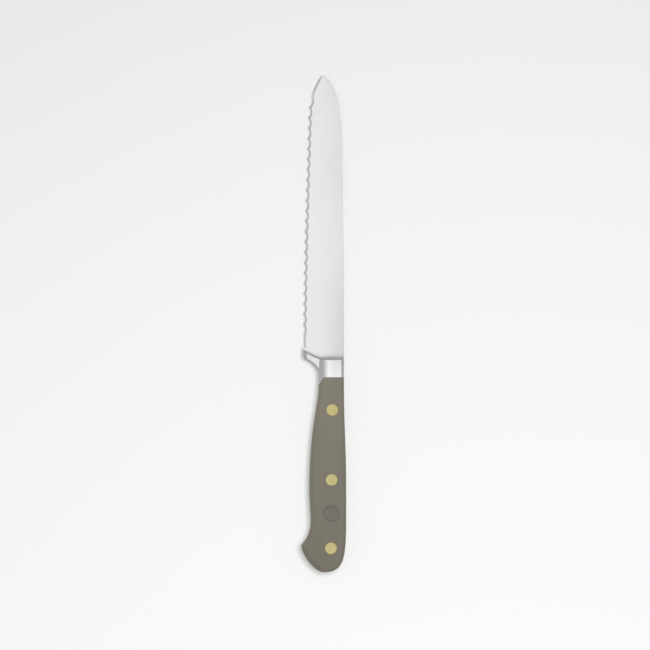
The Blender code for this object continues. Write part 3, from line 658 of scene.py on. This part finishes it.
def prism_mesh(name, corners, bottom, top):
    bm = bmesh.new()
    loft(bm, [[plan_point(*corner, z) for corner in corners] for z in (bottom, top)])
    mesh = bpy.data.meshes.new(name)
    bm.to_mesh(mesh)
    bm.free()
    return mesh


def bolster_clearance():
    """A cutter in the place of the bolster, which leaves a fine line along the seam."""
    slope = -SEAM_SLANT_LENGTH / (NECK_DEPTH - SEAM_STRAIGHT_DEPTH)
    shift = SEAM_LINE * hypot(1, slope)
    corner = SEAM_STRAIGHT_DEPTH + (shift - SEAM_LINE) / slope
    low, high = -CUT_MARGIN, NECK_DEPTH + CUT_MARGIN
    rear, front = HANDLE_LENGTH - SEAM_LINE, HANDLE_LENGTH + 2 * CUT_MARGIN
    end = HANDLE_LENGTH - shift + slope * (high - SEAM_STRAIGHT_DEPTH)
    corners = [(low, front), (low, rear), (corner, rear), (high, end), (high, front)]
    return prism_mesh("bolster clearance", corners, -2 * CUT_MARGIN, 2 * CUT_MARGIN)


def round_pocket(radius, depth, position, side):
    """A cutter for the pocket of a rivet head or the inlay."""
    face = outer_face_height(position)
    corners = []
    for i in range(TURN_STEPS):
        angle = 2 * pi * i / TURN_STEPS
        corners.append((depth + radius * cos(angle), position + radius * sin(angle)))
    low, high = sorted((side * (face - POCKET_SHARE * PLUG_LENGTH), side * (face + CUT_MARGIN / 2)))
    return prism_mesh("pocket", corners, low, high)


def scale_mesh(name, side):
    points = handle_outline(HANDLE_LENGTH + SCALE_OVERLENGTH)
    insets = rim_insets(points)
    rings = [[plan_point(*point, side * TANG_THICKNESS / 2) for point in points]]
    profiles = []
    for (_, position), (direction, _) in zip(points, insets):
        near = max(1 - position / CREASE_LENGTH, 0) * clamped((CREASE_START - direction.x) / CREASE_TURN)
        profiles.append(edge_profile(ROUND_TILT, ROUND_CORNER, CREASE_TILT * near))
    for i in range(CORNER_STEPS + ROUND_STEPS + 1):
        ring = []
        for point, (direction, radius), profile in zip(points, insets, profiles):
            inset, drop = profile[i]
            depth, position = Vector(point) + direction * radius * inset
            ring.append(plan_point(depth, position, side * (outer_face_height(position) - radius * drop)))
        rings.append(ring)
    bm = bmesh.new()
    loft(bm, rings)
    mesh = finish_mesh(bm, name, radians(12))
    obj = bpy.data.objects.new(name, mesh)
    bpy.context.scene.collection.objects.link(obj)
    radius = RIVET_HEAD_DIAMETER / 2 + RIVET_LINE
    cutters = [bolster_clearance()]
    for position, depth in RIVET_PLACES.values():
        cutters.append(round_pocket(radius, depth, position, side))
    if side == UPPER:
        inlay_radius = INLAY_DIAMETER / 2 + RIVET_LINE
        cutters.append(round_pocket(inlay_radius, INLAY_DEPTH, INLAY_POSITION, side))
    return cut(obj, cutters)


# Round pieces


def turned_mesh(name, profile, side, place):
    """A solid of revolution in the outer face of a scale, from (radius, height above the face) points."""
    position, depth = place
    lean = Matrix.Rotation(-side * TAPER_ANGLE, 4, "X")
    base = Matrix.Translation(plan_point(depth, position, side * outer_face_height(position)))
    flip = Matrix.Diagonal((1, 1, side, 1))
    seat = base @ lean @ flip
    angles = [2 * pi * i / TURN_STEPS for i in range(TURN_STEPS)]
    rings = []
    for radius, height in profile:
        rings.append([seat @ Vector((radius * cos(t), radius * sin(t), height)) for t in angles])
    bm = bmesh.new()
    loft(bm, rings)
    return finish_mesh(bm, name, radians(35))


def rivet_mesh(name, side, place):
    """A head with a softened rim. The knife rests on the lower heads, which are flush."""
    radius = RIVET_HEAD_DIAMETER / 2
    rise = RIVET_RISE if side == UPPER else 0.0
    profile = [(radius, -PLUG_LENGTH)]
    for i in range(RIM_STEPS + 1):
        a = pi / 2 * i / RIM_STEPS
        profile.append((radius - RIVET_SOFT * (1 - cos(a)), rise - 0.6 * RIVET_SOFT * (1 - sin(a))))
    profile.append((0.4 * radius, rise))
    return turned_mesh(name, profile, side, place)


def inlay_mesh(name):
    """A plain disc with a flat lip, a groove inside it and an almost flat middle."""
    radius = INLAY_DIAMETER / 2
    lip, groove = 0.00055, 0.00012
    profile = [
        (radius, -PLUG_LENGTH),
        (radius, -0.00006),
        (radius - 0.00008, 0.00001),
        (radius - lip + 0.00008, 0.00001),
        (radius - lip, -0.00002),
        (radius - lip - 0.00006, -groove),
        (radius - lip - 0.00020, -groove),
        (radius - lip - 0.00028, -0.00005),
        (radius - lip - 0.00040, -0.00002),
        (0.5 * radius, 0.00000),
        (0.1 * radius, 0.00001),
    ]
    return turned_mesh(name, profile, UPPER, (INLAY_POSITION, INLAY_DEPTH))


# Materials


def new_material(name, metallic, roughness):
    material = bpy.data.materials.new(name)
    material.use_nodes = True
    tree = material.node_tree
    shader = tree.nodes["Principled BSDF"]
    shader.inputs["Metallic"].default_value = metallic
    shader.inputs["Roughness"].default_value = roughness
    return material, tree, shader


def stretched_noise(tree, scale, detail):
    """Noise in the object's own coordinates, scale being cycles per metre along X, Y and Z."""
    coordinates = tree.nodes.new("ShaderNodeTexCoord")
    mapping = tree.nodes.new("ShaderNodeMapping")
    mapping.inputs["Scale"].default_value = scale
    noise = tree.nodes.new("ShaderNodeTexNoise")
    noise.inputs["Scale"].default_value = 1.0
    noise.inputs["Detail"].default_value = detail
    tree.links.new(coordinates.outputs["Object"], mapping.inputs["Vector"])
    tree.links.new(mapping.outputs["Vector"], noise.inputs["Vector"])
    return noise.outputs["Fac"]


def map_range(tree, value, low, high, to_low, to_high):
    node = tree.nodes.new("ShaderNodeMapRange")
    node.inputs["From Min"].default_value = low
    node.inputs["From Max"].default_value = high
    node.inputs["To Min"].default_value = to_low
    node.inputs["To Max"].default_value = to_high
    tree.links.new(value, node.inputs["Value"])
    return node.outputs["Result"]


def math_node(tree, operation, *values):
    node = tree.nodes.new("ShaderNodeMath")
    node.operation = operation
    for value, socket in zip(values, node.inputs):
        tree.links.new(value, socket)
    return node.outputs["Value"]


def mix_colours(tree, factor, one, two):
    node = tree.nodes.new("ShaderNodeMix")
    node.data_type = "RGBA"
    tree.links.new(factor, node.inputs["Factor"])
    for socket, colour in ((node.inputs[6], one), (node.inputs[7], two)):
        if isinstance(colour, tuple):
            socket.default_value = (*colour, 1)
        else:
            tree.links.new(colour, socket)
    return node.outputs[2]


def add_bump(tree, shader, height, strength, distance):
    bump = tree.nodes.new("ShaderNodeBump")
    bump.inputs["Strength"].default_value = strength
    bump.inputs["Distance"].default_value = distance
    tree.links.new(height, bump.inputs["Height"])
    tree.links.new(bump.outputs["Normal"], shader.inputs["Normal"])


def along_knife(tree, start, end, at_start, at_end):
    """A value that changes between two positions along the knife."""
    place = tree.nodes.new("ShaderNodeTexCoord")
    split = tree.nodes.new("ShaderNodeSeparateXYZ")
    tree.links.new(place.outputs["Object"], split.inputs["Vector"])
    low, high = (KNIFE.translation.y + position for position in (start, end))
    return map_range(tree, split.outputs["Y"], low, high, at_start, at_end)


def scaled(tree, colour, factor):
    node = tree.nodes.new("ShaderNodeVectorMath")
    node.operation = "SCALE"
    tree.links.new(colour, node.inputs[0])
    tree.links.new(factor, node.inputs["Scale"])
    return node.outputs["Vector"]


def convex_edges(tree, low, high):
    """From 0 to 1 at the convex edges of the mesh."""
    geometry = tree.nodes.new("ShaderNodeNewGeometry")
    return map_range(tree, geometry.outputs["Pointiness"], low, high, 0, 1)


def steel(name, grey, blade_grey, roughness, grain, relief):
    """Steel whose grain is noise with the given cycles per metre along X, Y and Z.

    Its grey turns to blade_grey where the step runs out on the blade.
    """
    material, tree, shader = new_material(name, 1.0, roughness)
    brushing = stretched_noise(tree, grain, 3)
    cloud = stretched_noise(tree, (60, 25, 60), 2)
    dark, light, worn = (tuple(grey * tint * level for tint in COOL_TINT) for level in (0.98, 1.02, 1.1))
    colour = mix_colours(tree, map_range(tree, cloud, 0.3, 0.7, 0, 1), dark, light)
    colour = mix_colours(tree, convex_edges(tree, 0.52, 0.6), colour, worn)
    towards_tip = along_knife(tree, STEP_POSITION, STEP_POSITION + GREY_CHANGE, 1, blade_grey / grey)
    tree.links.new(scaled(tree, colour, towards_tip), shader.inputs["Base Color"])
    uneven = map_range(tree, brushing, 0.25, 0.75, roughness - 0.03, roughness + 0.03)
    tree.links.new(uneven, shader.inputs["Roughness"])
    add_bump(tree, shader, brushing, relief, 0.000004)
    return material


def plastic(name, dark, light, roughness):
    material, tree, shader = new_material(name, 0.0, roughness)
    shader.inputs["Specular IOR Level"].default_value = 0.7
    grain = stretched_noise(tree, (5200, 2600, 5200), 4)
    cloud = stretched_noise(tree, (150, 45, 150), 3)
    colour = mix_colours(tree, map_range(tree, cloud, 0.3, 0.7, 0, 1), dark, light)
    # Painted shade: the plastic is painted darker towards the butt and lighter towards the bolster
    colour = scaled(tree, colour, along_knife(tree, *PAINTED_LIGHT_RANGE, 1, PAINTED_LIGHT_AT_FRONT))
    # Lighter along convex edges: partly wear, partly a painted highlight along the rims of the scales
    colour = mix_colours(tree, convex_edges(tree, 0.52, 0.62), colour, tuple(1.3 * c for c in light))
    tree.links.new(colour, shader.inputs["Base Color"])
    uneven = map_range(tree, grain, 0.3, 0.7, roughness - 0.06, roughness + 0.06)
    tree.links.new(uneven, shader.inputs["Roughness"])
    add_bump(tree, shader, grain, 0.35, 0.00001)
    return material


def brass():
    material, tree, shader = new_material("satin brass", 1.0, 0.35)
    sanding = stretched_noise(tree, (8000, 120, 120), 3)
    cloud = stretched_noise(tree, (500, 500, 500), 2)
    colour = mix_colours(tree, map_range(tree, cloud, 0.3, 0.7, 0, 1), BRASS_DARK, BRASS_LIGHT)
    colour = mix_colours(tree, convex_edges(tree, 0.52, 0.6), colour, BRASS_WORN)
    tree.links.new(colour, shader.inputs["Base Color"])
    tree.links.new(map_range(tree, sanding, 0.25, 0.75, 0.28, 0.42), shader.inputs["Roughness"])
    add_bump(tree, shader, sanding, 0.3, 0.000004)
    return material


# Pieces


def build_knife():
    pieces = []
    brushed = steel("brushed steel", BLADE_GREY, BLADE_GREY, 0.24, (90, 9000, 90), 0.12)
    satin = steel("satin steel", SATIN_GREY, BLADE_GREY, 0.24, (1500, 1500, 1500), 0.12)
    scale_material = plastic("scale plastic", SCALE_DARK, SCALE_LIGHT, 0.38)
    inlay_material = plastic("inlay plastic", INLAY_DARK, INLAY_LIGHT, 0.36)
    brass_material = brass()

    for name, add_shape, angle, steel_material in (
        ("blade", add_blade, 13, brushed),
        ("bolster", add_bolster, 40, satin),
        ("finger_guard", add_guard, 30, satin),
        ("tang", add_tang, 40, satin),
    ):
        bm = bmesh.new()
        add_shape(bm)
        mesh = finish_mesh(bm, name, radians(angle))
        pieces.append(add_piece(name, mesh, steel_material, ["blade_forging"]))

    for name, side in (("upper", UPPER), ("lower", LOWER)):
        mesh = scale_mesh(f"{name}_scale", side)
        pieces.append(add_piece(f"{name}_scale", mesh, scale_material, [f"scale_{name}"]))

    for place_name, place in RIVET_PLACES.items():
        for half, side in (("pin", UPPER), ("socket", LOWER)):
            name = f"{place_name}_rivet_{half}_head"
            mesh = rivet_mesh(name, side, place)
            nodes = [f"rivet_{half}_{place_name}"]
            pieces.append(add_piece(name, mesh, brass_material, nodes))

    disc = inlay_mesh("inlay_disc")
    pieces.append(add_piece("inlay_disc", disc, inlay_material, ["round_inlay"]))
    return pieces


# Stage, lights and camera


def build_floor():
    """A sheet of paper on a light table."""
    bm = bmesh.new()
    bmesh.ops.create_grid(bm, x_segments=8, y_segments=8, size=FLOOR_SIZE)
    mesh = bpy.data.meshes.new("floor")
    bm.to_mesh(mesh)
    bm.free()
    floor = bpy.data.objects.new("floor", mesh)
    bpy.context.scene.collection.objects.link(floor)
    floor.location.z = -FLOOR_GAP
    material, tree, shader = new_material("floor paper", 0.0, 0.8)
    shader.inputs["Base Color"].default_value = (FLOOR_GREY, FLOOR_GREY, FLOOR_GREY, 1)
    shader.inputs["Specular IOR Level"].default_value = 0.0
    shader.inputs["Emission Color"].default_value = (1, 1, 1, 1)
    glow = along_knife(tree, *GLOW_RANGE, FLOOR_GLOW + GLOW_CHANGE, FLOOR_GLOW - GLOW_CHANGE)
    tree.links.new(glow, shader.inputs["Emission Strength"])
    mesh.materials.append(material)
    return floor


def build_world():
    """A soft box overhead, leaning to the edge side, in a dim tent that is darkest behind the butt."""
    world = bpy.data.worlds.new("tent")
    bpy.context.scene.world = world
    world.use_nodes = True
    tree = world.node_tree
    background = tree.nodes["Background"]
    coordinates = tree.nodes.new("ShaderNodeTexCoord")
    towards_box = tree.nodes.new("ShaderNodeVectorMath")
    towards_box.operation = "DOT_PRODUCT"
    towards_box.inputs[1].default_value = (-sin(BOX_LEAN), 0, cos(BOX_LEAN))
    tree.links.new(coordinates.outputs["Generated"], towards_box.inputs[0])
    angle = math_node(tree, "ARCCOSINE", towards_box.outputs["Value"])
    box = map_range(tree, angle, 0, BOX_REACH, BOX_LIGHT, TENT_LIGHT)
    box.node.interpolation_type = "SMOOTHSTEP"
    split = tree.nodes.new("ShaderNodeSeparateXYZ")
    tree.links.new(coordinates.outputs["Generated"], split.inputs["Vector"])
    behind = map_range(tree, split.outputs["Y"], -1, 0, TENT_BEHIND, 1)
    tree.links.new(math_node(tree, "MULTIPLY", box, behind), background.inputs["Strength"])
    background.inputs["Color"].default_value = (1, 1, 1, 1)


def add_floor_light(floor, casters):
    """Tops up the floor from the spine side. As in the photograph, the blade casts no shadow on it."""
    light = bpy.data.lights.new("floor light", "AREA")
    light.shape = "DISK"
    light.size = FLOOR_LIGHT_SIZE
    light.energy = FLOOR_LIGHT
    obj = bpy.data.objects.new("floor light", light)
    bpy.context.scene.collection.objects.link(obj)
    obj.location = FLOOR_LIGHT_PLACE
    obj.rotation_euler = (-obj.location).to_track_quat("-Z", "Y").to_euler()
    for role, members in (("receiver", [floor]), ("blocker", casters)):
        group = bpy.data.collections.new(f"floor light {role}s")
        for member in members:
            group.objects.link(member)
        setattr(obj.light_linking, f"{role}_collection", group)


def build_camera():
    """Looks straight down, with the photograph's width and scale."""
    camera = bpy.data.cameras.new("camera")
    camera.sensor_width = SENSOR_WIDTH
    view_width = PHOTO_WIDTH / PHOTO_SCALE
    camera.lens = camera.sensor_width * CAMERA_HEIGHT / view_width
    camera.clip_start, camera.clip_end = 0.1, 10
    obj = bpy.data.objects.new("camera", camera)
    bpy.context.scene.collection.objects.link(obj)
    obj.location = (*CAMERA_PLACE, CAMERA_HEIGHT)
    bpy.context.scene.camera = obj


def main():
    scene = bpy.context.scene
    scene.view_settings.view_transform = "Standard"
    scene.view_settings.look = "None"
    pieces = build_knife()
    floor = build_floor()
    build_world()
    add_floor_light(floor, [piece for piece in pieces if piece.name != "blade"])
    build_camera()


main()
